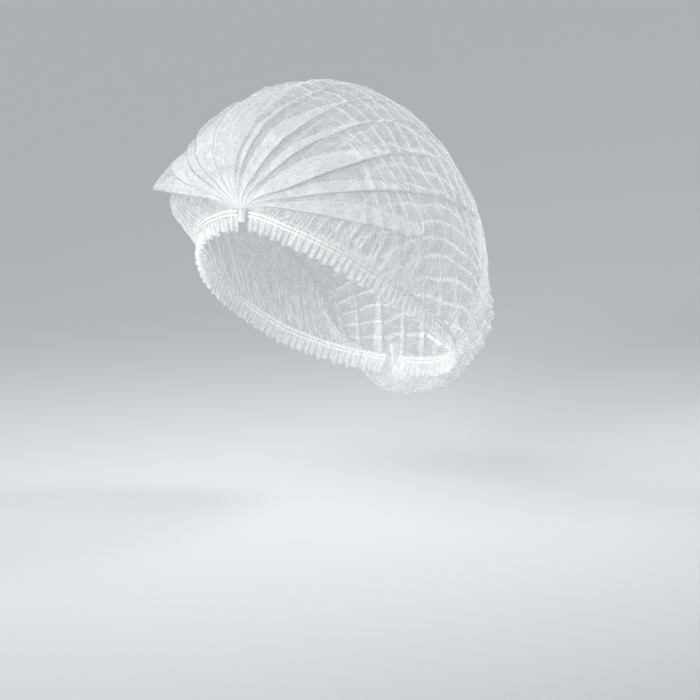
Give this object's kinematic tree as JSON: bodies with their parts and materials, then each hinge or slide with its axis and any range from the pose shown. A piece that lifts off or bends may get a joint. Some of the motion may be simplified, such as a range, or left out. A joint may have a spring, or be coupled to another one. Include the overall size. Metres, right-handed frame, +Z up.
{
  "type": "hairnet",
  "caption": "Disposable pleated hair cap of see-through white nonwoven, as worn: pleats fan out from a front gather to a back gather over an elastic hem with a frilled edge.",
  "frame": {"origin": "middle of the head opening, midway between the front gather and the back gather", "axes": "+Z up over the crown, -Y the way the wearer faces, +X the wearer's left"},
  "size_m": [0.1959, 0.2252, 0.2265],
  "materials": {
    "spunbond_cloth": "matte",
    "gathered_cloth": "matte",
    "elastic": "matte"
  },
  "bodies": {
    "root": {"crown": "spunbond_cloth", "front_gather": "gathered_cloth", "back_gather": "gathered_cloth", "elastic_left": "elastic", "elastic_right": "elastic", "frill_left": "gathered_cloth", "frill_right": "gathered_cloth"}
  },
  "joints": []
}
